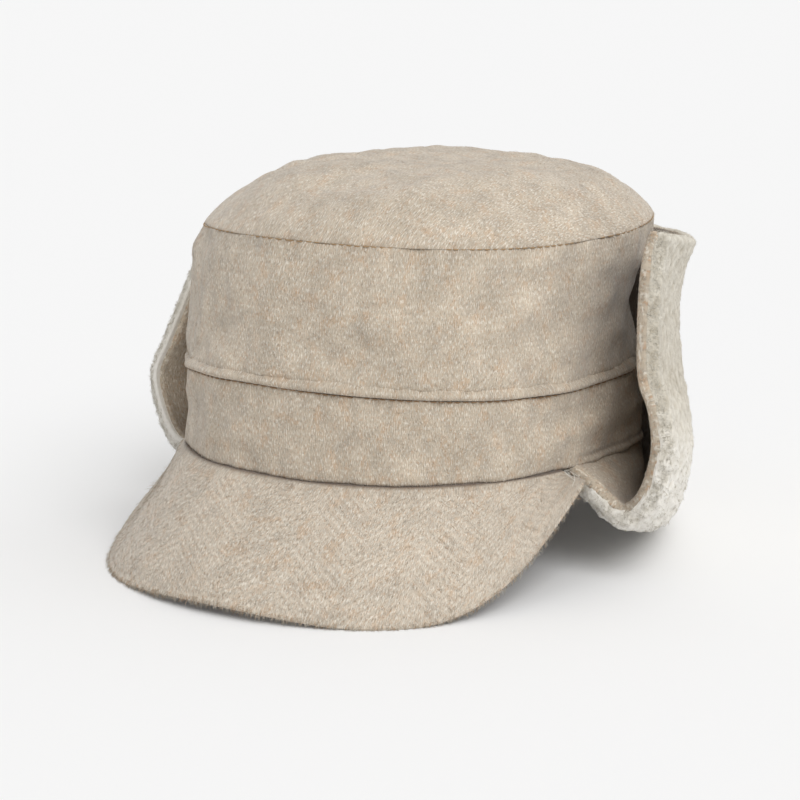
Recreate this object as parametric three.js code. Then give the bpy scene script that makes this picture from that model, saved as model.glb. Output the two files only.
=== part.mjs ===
// A wool captain cap with a short stiff peak and a deep fleece-backed flap, worn turned up round the back.
// Millimetres, +Z up, peak toward -Y. The cap rests on the peak's edge and on the fold of its flap.
import * as THREE from 'three';

// Driving dimensions of the crown, in millimetres
const halfWidth = 87;
const lengthRatio = 1.188;
const ovalPower = 2.285;
const clothWall = 2.4;
const seamGap = 0.3;
const domeRise = 24;
const domePower = 4.26;
const weltHeight = 4;
const weltStandOff = 1.6;

// How the cap stands on the floor: it leans back a little and its cloth flattens where it rests
const leanBack = THREE.MathUtils.degToRad(2.5);
const bandAboveFloor = 41.7;

// Cloth colours
const woolColor = 0xbfb2a1;
const fleeceColor = 0xdcd8cc;

// Mesh fineness: steps round the crown, across the peak and round the flap
const stepsAround = 60;
const stepsPeak = 32;
const stepsFlap = 32;

// The crown's outer wall, a row for each height above the band's lower edge.
// reach is half the width, setBack moves the oval to the back, lift and dip wave the height round the head.
const crownLevels = [
  { height: 0, reach: 87.0, setBack: 0.0, lift: 0.0, dip: -0.6 },
  { height: 34.9, reach: 87.0, setBack: -0.3, lift: -2.9, dip: 2.6 },
  { height: 60, reach: 87.6, setBack: 1.9, lift: -3.7, dip: 2.2 },
  { height: 80, reach: 87.5, setBack: 4.2, lift: -4.1, dip: 1.9 },
  { height: 93, reach: 85.3, setBack: 7.1, lift: -4.2, dip: 1.9 },
];
const bandTop = crownLevels[1].height;
const seamHeight = crownLevels[4].height;

// Soft dents of the crown's wall: angle from the front toward +X, height, depth and half sizes
const crownDents = [
  { angle: 124, height: 60, depth: 10, halfAngle: 25, halfHeight: 19 },
  { angle: 62, height: 76, depth: 2.2, halfAngle: 22, halfHeight: 12 },
  { angle: 20, height: 50, depth: 1.8, halfAngle: 26, halfHeight: 9 },
  { angle: -26, height: 62, depth: 2.4, halfAngle: 24, halfHeight: 14 },
  { angle: -122, height: 60, depth: 4.0, halfAngle: 26, halfHeight: 22 },
  { angle: 178, height: 56, depth: 3.0, halfAngle: 34, halfHeight: 18 },
  { angle: 40, height: 14, depth: 1.5, halfAngle: 20, halfHeight: 10 },
  { angle: -44, height: 16, depth: 1.4, halfAngle: 18, halfHeight: 10 },
];

// The peak: a curved board covered in cloth, sewn under the band's lower edge
const peakThickness = 4;
const peakEndAngle = 79.6;
const peakReach = 37.9;
const peakDrop = 52.8;
const peakEndDrop = 2.7;
const peakEndWidth = 8.4;
// Sideways and up: how far the edge bends more sharply at its corners, and arches up between them
const peakCornerFill = 8;
const peakCornerRound = 0.9;
const peakSideDrop = 8.8;
const peakMiddleLift = 0.8;
const peakFrontRound = 0.9;
const peakArch = 2.4;
// How strongly the arch turns into a hollow near the peak's end on the -X side
const peakLeftHollow = 7;
const peakEdgePart = 0.22;
// The peak's root is sewn flat under the band over this share of its reach
const peakRootPart = 0.06;

// The flap: cloth outside, fleece toward the head, folded up on itself all the way round the back
const flapStartAngle = 82.3;
const flapCloth = 2;
const flapFleece = 6.5;

// The line where the flap's cloth and fleece meet, from the band down to the fold and up to the rim.
// out is the distance from the crown's wall and up the height, at the back and at both front edges.
// closing says how soon a row comes back to the crown behind its front edge.
const flapRows = [
  { backOut: -2.9, backUp: -0.5, rightOut: -2.9, rightUp: -0.5, leftOut: -2.9, leftUp: -0.5, closing: 3 },
  { backOut: -2.9, backUp: -12, rightOut: 9.5, rightUp: -5.6, leftOut: 9.5, leftUp: -5, closing: 3.4 },
  { backOut: -2.2, backUp: -24, rightOut: 17.5, rightUp: -10.4, leftOut: 17.5, leftUp: -11.8, closing: 4.2 },
  { backOut: 2.8, backUp: -31.6, rightOut: 24.8, rightUp: -12.8, leftOut: 25, leftUp: -15, closing: 4.6 },
  { backOut: 8.2, backUp: -24, rightOut: 33, rightUp: -5, leftOut: 32.5, leftUp: -6, closing: 4.8 },
  { backOut: 9.2, backUp: -8, rightOut: 38, rightUp: 12, leftOut: 38, leftUp: 13, closing: 3.9 },
  { backOut: 9, backUp: 10, rightOut: 36, rightUp: 28, leftOut: 31.5, leftUp: 29, closing: 4 },
  { backOut: 7.6, backUp: 30, rightOut: 30, rightUp: 42, leftOut: 25.4, leftUp: 43, closing: 4.8 },
  { backOut: 5.2, backUp: 56, rightOut: 27, rightUp: 70, leftOut: 15, leftUp: 68, closing: 6.6 },
  { backOut: 5.4, backUp: 72, rightOut: 27.6, rightUp: 86, leftOut: 9.4, leftUp: 83, closing: 6 },
  { backOut: 7.4, backUp: 84, rightOut: 31, rightUp: 96, leftOut: 7.2, leftUp: 93, closing: 4.2 },
];
// The places along the rows that get a line of the mesh, closer together round the fold
const flapPlaces = [0, 0.8, 1.5, 2.1, 2.5, 2.8, 3, 3.2, 3.5, 3.9, 4.4, 5, 5.6, 6.3, 7.1, 8, 8.9, 9.6, 10];
// The rounded upper corners: how far of a row they drop, from which place up, over what share of the way
const flapCornerCut = 0.1;
const flapCornerFrom = 6;
const flapCornerSpan = 0.08;
// Both layers thin out toward the rim and the front edges; the fleece reaches a little over the cloth
const flapRimPart = 0.45;
const flapEdgePart = 0.6;
const flapFleeceOver = 0.15;
// How strongly the mesh's steps round the flap crowd toward its front edges, from 0 to 1
const flapCrowding = 0.7;

const degrees = THREE.MathUtils.degToRad;

// A smooth curve through the rows of a table: the value of one column at any place along the rows
function alongRows(rows, column, place) {
  const last = rows.length - 1;
  const index = Math.min(Math.max(Math.floor(place), 0), last - 1);
  const part = place - index;
  const value = (i) => rows[Math.min(Math.max(i, 0), last)][column];
  const before = value(index - 1);
  const start = value(index);
  const end = value(index + 1);
  const after = value(index + 2);
  const slopeIn = (end - before) / 2;
  const slopeOut = (after - start) / 2;
  const square = part * part;
  const cube = square * part;
  return start * (2 * cube - 3 * square + 1) + slopeIn * (cube - 2 * square + part)
    + end * (3 * square - 2 * cube) + slopeOut * (cube - square);
}

// The crown's row table read at a height in millimetres
function crownAt(column, height) {
  const last = crownLevels.length - 1;
  const top = crownLevels[last].height;
  const level = Math.min(Math.max(height, 0), top);
  let row = 0;
  while (row < last - 1 && crownLevels[row + 1].height < level) row += 1;
  const low = crownLevels[row].height;
  const part = (level - low) / (crownLevels[row + 1].height - low);
  return alongRows(crownLevels, column, row + part);
}

function dentAt(angle, height) {
  let depth = 0;
  for (const dent of crownDents) {
    const turn = (((angle - dent.angle + 540) % 360) - 180) / dent.halfAngle;
    const rise = (height - dent.height) / dent.halfHeight;
    depth += dent.depth * Math.exp(-(turn * turn + rise * rise));
  }
  const seamHold = Math.min(1, Math.abs(height - seamHeight) / 14);
  return depth * seamHold;
}

// Power of a sine or cosine that keeps its sign, for a squarer oval
function rounded(value) {
  return Math.sign(value) * Math.abs(value) ** (2 / ovalPower);
}

// A point of the head oval at a height, moved out along the oval's normal
function ovalPoint(angle, height, out) {
  const turn = degrees(angle);
  const reach = crownAt('reach', height);
  const length = reach * lengthRatio;
  const across = rounded(Math.sin(turn));
  const along = -rounded(Math.cos(turn));
  const normal = new THREE.Vector2(
    Math.sign(across) * Math.abs(across) ** (ovalPower - 1) / reach,
    Math.sign(along) * Math.abs(along) ** (ovalPower - 1) / length,
  ).normalize();
  const wave = crownAt('lift', height) * Math.cos(turn) + crownAt('dip', height) * Math.cos(2 * turn);
  return new THREE.Vector3(
    reach * across + out * normal.x,
    length * along + crownAt('setBack', height) + out * normal.y,
    height + wave,
  );
}

// A point of the crown's wall: the oval with its dents, and out from it by a given distance
function wallPoint(angle, height, out) {
  return ovalPoint(angle, height, out - dentAt(angle, height));
}

// From the cap's own frame to the standing cap: lean back, lift to the floor, flatten what touches it
function placed(point) {
  const cos = Math.cos(leanBack);
  const sin = Math.sin(leanBack);
  const y = point.y * cos + point.z * sin;
  const z = point.z * cos - point.y * sin + bandAboveFloor;
  return new THREE.Vector3(point.x, y, Math.max(z, 0));
}

// A closed solid from points and triangles, with its faces turned outward
function solid(points, triangles) {
  const stood = points.map(placed);
  const edgeOne = new THREE.Vector3();
  let volume = 0;
  for (const [a, b, c] of triangles) {
    volume += stood[a].dot(edgeOne.crossVectors(stood[b], stood[c]));
  }
  const turned = volume < 0 ? triangles.map(([a, b, c]) => [a, c, b]) : triangles;
  const geometry = new THREE.BufferGeometry();
  geometry.setAttribute('position', new THREE.Float32BufferAttribute(stood.flatMap((p) => p.toArray()), 3));
  geometry.setIndex(turned.flat());
  geometry.computeVertexNormals();
  return geometry;
}

// A ring round the head: the profile is a closed loop of points, worked out anew at each angle
function ringSolid(profileAt) {
  const points = [];
  const triangles = [];
  let size = 0;
  for (let step = 0; step < stepsAround; step += 1) {
    const loop = profileAt((360 * step) / stepsAround);
    size = loop.length;
    points.push(...loop);
  }
  for (let step = 0; step < stepsAround; step += 1) {
    const next = (step + 1) % stepsAround;
    for (let i = 0; i < size; i += 1) {
      const j = (i + 1) % size;
      triangles.push([step * size + i, next * size + i, next * size + j]);
      triangles.push([step * size + i, next * size + j, step * size + j]);
    }
  }
  return solid(points, triangles);
}

// A sheet with two faces, each a grid of points of the same size, closed round its rim
function sheetSolid(upper, lower) {
  const rows = upper.length;
  const columns = upper[0].length;
  const points = [...upper.flat(), ...lower.flat()];
  const offset = rows * columns;
  const at = (face, row, column) => face * offset + row * columns + column;
  const triangles = [];
  const quad = (a, b, c, d) => triangles.push([a, b, c], [a, c, d]);
  for (let i = 0; i < rows - 1; i += 1) {
    for (let j = 0; j < columns - 1; j += 1) {
      quad(at(0, i, j), at(0, i + 1, j), at(0, i + 1, j + 1), at(0, i, j + 1));
      quad(at(1, i, j), at(1, i, j + 1), at(1, i + 1, j + 1), at(1, i + 1, j));
    }
    quad(at(0, i, 0), at(1, i, 0), at(1, i + 1, 0), at(0, i + 1, 0));
    const end = columns - 1;
    quad(at(0, i + 1, end), at(1, i + 1, end), at(1, i, end), at(0, i, end));
  }
  for (let j = 0; j < columns - 1; j += 1) {
    quad(at(0, 0, j + 1), at(1, 0, j + 1), at(1, 0, j), at(0, 0, j));
    quad(at(0, rows - 1, j), at(1, rows - 1, j), at(1, rows - 1, j + 1), at(0, rows - 1, j + 1));
  }
  return solid(points, triangles);
}

// The normal of a surface given by a function of two values
function normalOf(surface, a, b, stepA, stepB) {
  const alongA = surface(a + stepA, b).sub(surface(a - stepA, b));
  const alongB = surface(a, b + stepB).sub(surface(a, b - stepB));
  return alongA.cross(alongB).normalize();
}

// The crown's upper wall, from the welt to the top seam
function sidePanel() {
  const low = bandTop + weltHeight + seamGap * 2;
  const high = seamHeight - seamGap / 2;
  const heights = [0, 0.18, 0.38, 0.6, 0.78, 0.91, 1].map((part) => low + part * (high - low));
  const inside = [1, 0.6, 0.25, 0].map((part) => low + part * (high - low));
  return ringSolid((angle) => [
    ...heights.map((height) => wallPoint(angle, height, 0)),
    ...inside.map((height) => wallPoint(angle, height, -clothWall)),
  ]);
}

// The lower wall round the brow
function band() {
  const heights = [1.2, 9, 18, 27, bandTop];
  return ringSolid((angle) => [
    wallPoint(angle, 0, -0.8),
    ...heights.map((height) => wallPoint(angle, height, 0)),
    wallPoint(angle, bandTop, -clothWall),
    wallPoint(angle, bandTop / 2, -clothWall),
    wallPoint(angle, 0, -clothWall),
  ]);
}

// The folded ridge between the two walls
function welt() {
  const low = bandTop + seamGap;
  const outside = [[0.4, 0], [weltStandOff, 0.3], [weltStandOff, 0.72], [0.3, 1]];
  const outline = [[-clothWall, 0], ...outside, [-clothWall, 1]];
  return ringSolid((angle) => outline.map(([out, rise]) => wallPoint(angle, low + rise * weltHeight, out)));
}

// The padded top, domed over the top seam
function topPanel() {
  const outerRings = [1, 0.985, 0.94, 0.86, 0.74, 0.56, 0.32];
  const innerRings = [1, 0.92, 0.76, 0.5];
  const domePoint = (angle, ring, inset, rise) => {
    const seam = ovalPoint(angle, seamHeight, -inset);
    const level = seamHeight + seamGap / 2;
    const back = crownAt('setBack', seamHeight);
    const waved = (seam.z - seamHeight) * ring * ring;
    return new THREE.Vector3(
      seam.x * ring,
      back + (seam.y - back) * ring,
      level + waved + rise * (1 - ring ** domePower),
    );
  };
  const points = [];
  const shells = [
    { rings: outerRings, inset: 0, rise: domeRise },
    { rings: innerRings, inset: clothWall, rise: domeRise - clothWall },
  ];
  const triangles = [];
  for (const [face, { rings, inset, rise }] of shells.entries()) {
    const start = points.length;
    for (const ring of rings) {
      for (let step = 0; step < stepsAround; step += 1) {
        points.push(domePoint((360 * step) / stepsAround, ring, inset, rise));
      }
    }
    const crest = points.length;
    points.push(domePoint(0, 0, inset, rise));
    for (let step = 0; step < stepsAround; step += 1) {
      const next = (step + 1) % stepsAround;
      for (let i = 0; i < rings.length - 1; i += 1) {
        const here = start + i * stepsAround;
        const inner = here + stepsAround;
        const corners = [here + step, here + next, inner + next, inner + step];
        const order = face === 0 ? corners : corners.reverse();
        triangles.push([order[0], order[1], order[2]], [order[0], order[2], order[3]]);
      }
      const last = start + (rings.length - 1) * stepsAround;
      triangles.push(face === 0 ? [last + step, last + next, crest] : [last + next, last + step, crest]);
    }
  }
  const innerStart = outerRings.length * stepsAround + 1;
  for (let step = 0; step < stepsAround; step += 1) {
    const next = (step + 1) % stepsAround;
    triangles.push([next, step, innerStart + step], [next, innerStart + step, innerStart + next]);
  }
  return solid(points, triangles);
}

// The peak's free edge, arched up in the middle and lowest a little to each side
function peakEdge(turn) {
  const end = ovalPoint(peakEndAngle, 0, 0);
  const depth = peakReach + halfWidth * lengthRatio + end.y;
  const sine = Math.sin(turn);
  const cosine = Math.cos(turn);
  const across = (end.x + peakEndWidth) * sine + peakCornerFill * (Math.sin(3 * turn) + sine);
  const up = peakSideDrop * Math.cos(3 * turn) + peakMiddleLift * Math.cos(5 * turn);
  return new THREE.Vector3(
    across - peakCornerRound * (Math.sin(5 * turn) - sine),
    end.y - depth * cosine - peakFrontRound * (Math.cos(3 * turn) - cosine),
    up - peakDrop * cosine - peakEndDrop * sine ** 4,
  );
}

// The peak's middle surface: across is -1 to 1 between its ends, reach is 0 at the seam and 1 at the edge
function peakSurface(across, reach) {
  const turn = (across * Math.PI) / 2;
  const half = peakThickness / 2;
  const root = ovalPoint(across * peakEndAngle, 0, -clothWall);
  const seam = ovalPoint(across * peakEndAngle, 0, 0.4);
  root.z -= half + seamGap;
  seam.z -= half + seamGap * 1.5;
  if (reach <= peakRootPart) return root.lerp(seam, reach / peakRootPart);
  const run = (reach - peakRootPart) / (1 - peakRootPart);
  const hollow = peakLeftHollow * Math.max(0, -Math.sin(turn)) ** 4;
  const arch = peakArch * (1 - hollow) * Math.sin(Math.PI * run) * Math.abs(Math.cos(turn)) ** 1.5;
  const point = seam.lerp(peakEdge(turn), run);
  point.z += arch * 0.8;
  point.y -= arch * 0.6 * Math.cos(turn);
  point.x += arch * 0.6 * Math.sin(turn);
  return point;
}

function peak() {
  const reaches = [0, peakRootPart, 0.2, 0.38, 0.58, 0.78, 0.94, 1];
  const upper = [];
  const lower = [];
  for (const reach of reaches) {
    const upperRow = [];
    const lowerRow = [];
    for (let step = 0; step <= stepsPeak; step += 1) {
      const across = (2 * step) / stepsPeak - 1;
      const inside = Math.min(Math.max(across, -0.995), 0.995);
      const normal = reach < 0.1
        ? new THREE.Vector3(0, 0, 1)
        : normalOf(peakSurface, inside, Math.min(reach, 0.985), 0.004, 0.012);
      if (normal.z < 0) normal.negate();
      const half = peakThickness * (reach === 1 ? peakEdgePart : 0.5);
      const middle = peakSurface(across, reach);
      upperRow.push(middle.clone().addScaledVector(normal, half));
      lowerRow.push(middle.clone().addScaledVector(normal, -half));
    }
    upper.push(upperRow);
    lower.push(lowerRow);
  }
  return sheetSolid(upper, lower);
}

// The flap's middle surface: around in degrees from the front by the +X side, place along the table's rows
function flapSurface(around, place) {
  const side = around < 180 ? 'right' : 'left';
  const fromBack = Math.abs(180 - around) / (180 - flapStartAngle);
  const out = alongRows(flapRows, `${side}Out`, place);
  const up = alongRows(flapRows, `${side}Up`, place);
  const backOut = alongRows(flapRows, 'backOut', place);
  const backUp = alongRows(flapRows, 'backUp', place);
  const flare = Math.min(fromBack, 1) ** alongRows(flapRows, 'closing', place);
  const standOff = backOut + (out - backOut) * flare;
  const height = backUp + (up - backUp) * flare;
  return ovalPoint(around, Math.max(height, 0), standOff).setZ(height + ovalPoint(around, 0, 0).z);
}

// A place along the rows, drawn in above the corners' start so that the last one comes to topPlace
function flapPlace(place, topPlace) {
  if (place <= flapCornerFrom) return place;
  const full = flapRows.length - 1 - flapCornerFrom;
  return flapCornerFrom + ((place - flapCornerFrom) * (topPlace - flapCornerFrom)) / full;
}

// One layer of the flap, between two distances from its middle surface, up to a place along the rows.
// The steps are closer together near the two front edges.
function flapLayer(near, far, rimPlace) {
  const last = flapPlaces.length - 1;
  const inner = [];
  const outer = [];
  for (let row = 0; row <= last; row += 1) {
    const rim = row === last ? flapRimPart : 1;
    const innerRow = [];
    const outerRow = [];
    for (let step = 0; step <= stepsFlap; step += 1) {
      const part = step / stepsFlap;
      const eased = part + flapCrowding * ((1 - Math.cos(Math.PI * part)) / 2 - part);
      const around = flapStartAngle + 2 * (180 - flapStartAngle) * eased;
      const corner = Math.max(0, Math.abs(2 * eased - 1) - 1 + flapCornerSpan) / flapCornerSpan;
      const place = flapPlace(flapPlaces[row], rimPlace - flapCornerCut * corner ** 2);
      const edge = step === 0 || step === stepsFlap ? flapEdgePart : 1;
      const inside = Math.min(Math.max(place, 0.02), flapRows.length - 1.02);
      const normal = normalOf(flapSurface, around, inside, 0.5, 0.02);
      if (row === 0) normal.setZ(0).normalize();
      const middle = flapSurface(around, place);
      const deep = near + (far - near) * Math.min(rim, edge);
      innerRow.push(middle.clone().addScaledVector(normal, near));
      outerRow.push(middle.clone().addScaledVector(normal, deep));
    }
    inner.push(innerRow);
    outer.push(outerRow);
  }
  return sheetSolid(inner, outer);
}

// A named mesh with a matt cloth material of its own
function piece(name, geometry, color) {
  const material = new THREE.MeshStandardMaterial({ color, roughness: 0.95, metalness: 0 });
  material.name = `${name} cloth`;
  const mesh = new THREE.Mesh(geometry, material);
  mesh.name = name;
  return mesh;
}

const flapTop = flapRows.length - 1;
const cap = new THREE.Group();
cap.add(piece('top_panel', topPanel(), woolColor));
cap.add(piece('side_panel', sidePanel(), woolColor));
cap.add(piece('welt', welt(), woolColor));
cap.add(piece('band', band(), woolColor));
cap.add(piece('peak', peak(), woolColor));
cap.add(piece('flap_shell', flapLayer(0, -flapCloth, flapTop - flapFleeceOver), woolColor));
cap.add(piece('flap_fleece', flapLayer(seamGap, seamGap + flapFleece, flapTop), fleeceColor));

// The origin is under the middle of the cap, on the floor
const extent = new THREE.Box3().setFromObject(cap);
const middle = extent.getCenter(new THREE.Vector3());
cap.position.set(-middle.x, -middle.y, 0);
cap.updateMatrixWorld(true);

export default cap;
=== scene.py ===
# A wool captain cap with a fleece-backed flap turned up round the back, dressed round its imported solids.
# Shapes are worked out in millimetres in the cap's own frame and turned to metres in the row frame at the end
import math

import bpy
import numpy as np
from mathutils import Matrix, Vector


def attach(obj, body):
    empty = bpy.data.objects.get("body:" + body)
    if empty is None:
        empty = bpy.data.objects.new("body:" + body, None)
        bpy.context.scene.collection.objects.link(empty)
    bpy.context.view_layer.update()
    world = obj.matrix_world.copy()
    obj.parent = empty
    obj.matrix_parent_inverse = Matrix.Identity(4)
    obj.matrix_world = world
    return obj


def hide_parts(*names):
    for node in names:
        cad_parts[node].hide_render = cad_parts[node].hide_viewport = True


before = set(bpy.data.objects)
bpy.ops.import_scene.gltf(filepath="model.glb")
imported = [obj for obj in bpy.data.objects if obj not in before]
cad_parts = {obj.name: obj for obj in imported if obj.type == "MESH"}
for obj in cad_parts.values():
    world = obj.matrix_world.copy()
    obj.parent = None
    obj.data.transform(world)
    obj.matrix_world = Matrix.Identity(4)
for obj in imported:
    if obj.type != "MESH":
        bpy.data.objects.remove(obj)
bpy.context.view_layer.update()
millimetre = 0.001
offFloor = 0.02                         # millimetres that hairs and threads keep from the floor


# Colours are given as sRGB hex and turned to linear here
def linearColor(hexColor):
    parts = [int(hexColor[i:i + 2], 16) / 255 for i in (1, 3, 5)]
    return [p / 12.92 if p <= 0.04045 else ((p + 0.055) / 1.055) ** 2.4 for p in parts] + [1.0]


# Adds a node with its settings, its plain socket values and its links, from a socket or a node's first one
def addNode(tree, kind, settings=None, values=None, links=None):
    node = tree.nodes.new("ShaderNode" + kind)
    for key, value in (settings or {}).items():
        setattr(node, key, value)
    for key, value in (values or {}).items():
        node.inputs[key].default_value = value
    for key, source in (links or {}).items():
        first = isinstance(source, bpy.types.Node)
        tree.links.new(source.outputs[0] if first else source, node.inputs[key])
    return node


# A new material with its node tree and its shader
def newMaterial(name, roughness, specular=0.5):
    material = bpy.data.materials.new(name)
    material.use_nodes = True
    shader = material.node_tree.nodes["Principled BSDF"]
    shader.inputs["Roughness"].default_value = roughness
    shader.inputs["Specular IOR Level"].default_value = specular
    return material, material.node_tree, shader


# The direction toward a place that lies turn degrees from the front to +X and rise degrees above the floor
def toward(turn, rise):
    turn, rise = math.radians(turn), math.radians(rise)
    return Vector((math.sin(turn) * math.cos(rise), -math.cos(turn) * math.cos(rise), math.sin(rise)))


# The camera and the light
studio = {
    "target": (-6.33, 5.31, 56.62),     # millimetres, the point in the middle of the picture
    "distance": 1000.0,
    "turn": 33.81,                      # degrees from the front toward +X
    "rise": 12.60,                      # degrees above the floor
    "lens": 106.4,
    "sensor": 36.0,
    "clipEnd": 60.0,                    # metres
    "floorSize": 30.0,
    "floorColor": "#eeeeee",
    "floorGlow": 0.04,                  # the light that comes up through the paper
    "skyLow": 0.36,                     # radiance at the horizon and overhead
    "skyHigh": 0.88,
    "skyTop": 0.9,                      # how high the sky reaches its full radiance, as a share of the way up
    "skySide": 0.38,                    # how much brighter it is on the camera's right than on its left
    "keyStrength": 1.30,
    "keyTurn": 56.0,
    "keyRise": 46.0,
    "keySoftness": 40.0,
}


def makeStudio():
    scene = bpy.context.scene
    back = toward(studio["turn"], studio["rise"])
    target = Vector(studio["target"]) * millimetre
    camera = bpy.data.objects.new("camera", bpy.data.cameras.new("camera"))
    camera.data.lens = studio["lens"]
    camera.data.sensor_width = studio["sensor"]
    camera.data.clip_end = studio["clipEnd"]
    camera.location = target + back * studio["distance"] * millimetre
    camera.rotation_euler = (-back).to_track_quat("-Z", "Y").to_euler()
    scene.collection.objects.link(camera)
    scene.camera = camera
    scene.view_settings.view_transform = "Standard"

    world = bpy.data.worlds.new("soft studio")
    world.use_nodes = True
    tree = world.node_tree
    texture = addNode(tree, "TexCoord")
    height = addNode(tree, "SeparateXYZ", None, None, {0: texture.outputs["Generated"]})
    glow = addNode(tree, "MapRange", None,
                   {1: 0.0, 2: studio["skyTop"], 3: studio["skyLow"], 4: studio["skyHigh"]},
                   {0: height.outputs["Z"]})
    turn = math.radians(studio["turn"])
    side = addNode(tree, "VectorMath", {"operation": "DOT_PRODUCT"},
                   {1: (math.cos(turn), math.sin(turn), 0)}, {0: texture.outputs["Generated"]})
    lean = addNode(tree, "MapRange", None,
                   {1: -1.0, 2: 1.0, 3: 1 - studio["skySide"], 4: 1 + studio["skySide"]},
                   {0: side.outputs["Value"]})
    strength = addNode(tree, "Math", {"operation": "MULTIPLY"}, None,
                       {0: glow, 1: lean})
    tree.nodes["Background"].inputs["Color"].default_value = (1, 1, 1, 1)
    tree.links.new(strength.outputs[0], tree.nodes["Background"].inputs["Strength"])
    scene.world = world

    key = bpy.data.objects.new("key light", bpy.data.lights.new("key light", "SUN"))
    key.data.energy = studio["keyStrength"]
    key.data.angle = math.radians(studio["keySoftness"])
    key.rotation_euler = (-toward(studio["keyTurn"], studio["keyRise"])).to_track_quat("-Z", "Y").to_euler()
    scene.collection.objects.link(key)

    bpy.ops.mesh.primitive_plane_add(size=studio["floorSize"])
    floor = bpy.context.object
    floor.name = "floor"
    material, tree, shader = newMaterial("matt white paper lit from below", 1.0, 0.0)
    shader.inputs["Base Color"].default_value = linearColor(studio["floorColor"])
    shader.inputs["Emission Color"].default_value = (1, 1, 1, 1)
    shader.inputs["Emission Strength"].default_value = studio["floorGlow"]
    floor.data.materials.append(material)


makeStudio()
print("studio: camera, floor and light")

# The cap's shape, from the same driving dimensions as its solids
cap = {
    "halfWidth": 87.0,
    "lengthRatio": 1.188,
    "ovalPower": 2.285,
    "clothWall": 2.4,
    "seamGap": 0.3,
    "domeRise": 24.0,
    "domePower": 4.26,
    "weltHeight": 4.0,
    "leanBack": 2.5,                    # degrees
    "bandAboveFloor": 41.7,
    "rowShift": (-0.021, 9.529),        # from the band's middle to the middle of the whole cap
    "seed": 11,
}
# height above the band's lower edge, half width, set back, and the waves of the height round the head
levelColumns = ("height", "reach", "setBack", "lift", "dip")
crownLevels = dict(zip(levelColumns, np.array([
    (0, 87.0, 0.0, 0.0, -0.6),
    (34.9, 87.0, -0.3, -2.9, 2.6),
    (60, 87.6, 1.9, -3.7, 2.2),
    (80, 87.5, 4.2, -4.1, 1.9),
    (93, 85.3, 7.1, -4.2, 1.9),
]).T))
bandTop = crownLevels["height"][1]
seamHeight = crownLevels["height"][-1]
# angle from the front toward +X, height, depth, half angle and half height of each soft dent
crownDents = [
    (124, 60, 10, 25, 19),
    (62, 76, 2.2, 22, 12),
    (20, 50, 1.8, 26, 9),
    (-26, 62, 2.4, 24, 14),
    (-122, 60, 4.0, 26, 22),
    (178, 56, 3.0, 34, 18),
    (40, 14, 1.5, 20, 10),
    (-44, 16, 1.4, 18, 10),
]
dentFade = 14.0                         # the dents run out over this height below the top seam


# 1 at zero, and softly down to both sides
def bell(value, width):
    return np.exp(-(value / width) ** 2)


def unit(vectors):
    return vectors / np.maximum(np.linalg.norm(vectors, axis=-1, keepdims=True), 1e-9)


# A smooth curve through one column of a table, at places along its rows
def alongRows(column, place):
    last = len(column) - 1
    index = np.clip(np.floor(place).astype(int), 0, last - 1)
    part = place - index
    before, start, end, after = (column[np.clip(index + i, 0, last)] for i in (-1, 0, 1, 2))
    square = part * part
    cube = square * part
    return (start * (2 * cube - 3 * square + 1) + (end - before) / 2 * (cube - 2 * square + part)
            + end * (3 * square - 2 * cube) + (after - start) / 2 * (cube - square))


def crownAt(column, height):
    levels = crownLevels["height"]
    level = np.clip(height, 0, levels[-1])
    row = np.clip(np.searchsorted(levels, level) - 1, 0, len(levels) - 2)
    return alongRows(crownLevels[column], row + (level - levels[row]) / (levels[row + 1] - levels[row]))


def dentAt(angle, height):
    depth = 0
    for dentAngle, dentHeight, deep, halfAngle, halfHeight in crownDents:
        turn = ((angle - dentAngle + 540) % 360 - 180) / halfAngle
        rise = (height - dentHeight) / halfHeight
        depth = depth + deep * np.exp(-(turn * turn + rise * rise))
    return depth * np.minimum(1, np.abs(height - seamHeight) / dentFade)


# A point of the head oval at a height, moved out along the oval's normal
def ovalPoint(angle, height, out):
    angle, height, out = np.broadcast_arrays(np.asarray(angle, float), height, out)
    turn = np.radians(angle)
    power = cap["ovalPower"]
    reach = crownAt("reach", height)
    length = reach * cap["lengthRatio"]
    across = np.sign(np.sin(turn)) * np.abs(np.sin(turn)) ** (2 / power)
    along = -np.sign(np.cos(turn)) * np.abs(np.cos(turn)) ** (2 / power)
    normalX = np.sign(across) * np.abs(across) ** (power - 1) / reach
    normalY = np.sign(along) * np.abs(along) ** (power - 1) / length
    size = np.hypot(normalX, normalY)
    wave = crownAt("lift", height) * np.cos(turn) + crownAt("dip", height) * np.cos(2 * turn)
    return np.stack([
        reach * across + out * normalX / size,
        length * along + crownAt("setBack", height) + out * normalY / size,
        height + wave,
    ], -1)


# From the cap's own frame to the standing cap in the row frame, in millimetres
def placed(points):
    lean = math.radians(cap["leanBack"])
    x, y, z = points[..., 0], points[..., 1], points[..., 2]
    backY = y * math.cos(lean) + z * math.sin(lean)
    backZ = z * math.cos(lean) - y * math.sin(lean) + cap["bandAboveFloor"]
    return np.stack([x + cap["rowShift"][0], backY + cap["rowShift"][1], np.maximum(backZ, 0)], -1)


# The random numbers of one piece, the same in every run
def randomDraw(seed):
    return np.random.default_rng(cap["seed"] * 1000 + seed)


# A smooth random field of two values in millimetres, with bumps of about the given size
def softField(seed, size, count=16):
    draw = randomDraw(seed)
    turns = draw.uniform(0, 2 * math.pi, count)
    waves = 2 * math.pi * draw.uniform(0.6, 1.4, count) / size
    phases = draw.uniform(0, 2 * math.pi, count)

    def field(x, y):
        total = 0
        for turn, wave, phase in zip(turns, waves, phases):
            total = total + np.sin((x * math.cos(turn) + y * math.sin(turn)) * wave + phase)
        return total / math.sqrt(count / 2)
    return field


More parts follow.
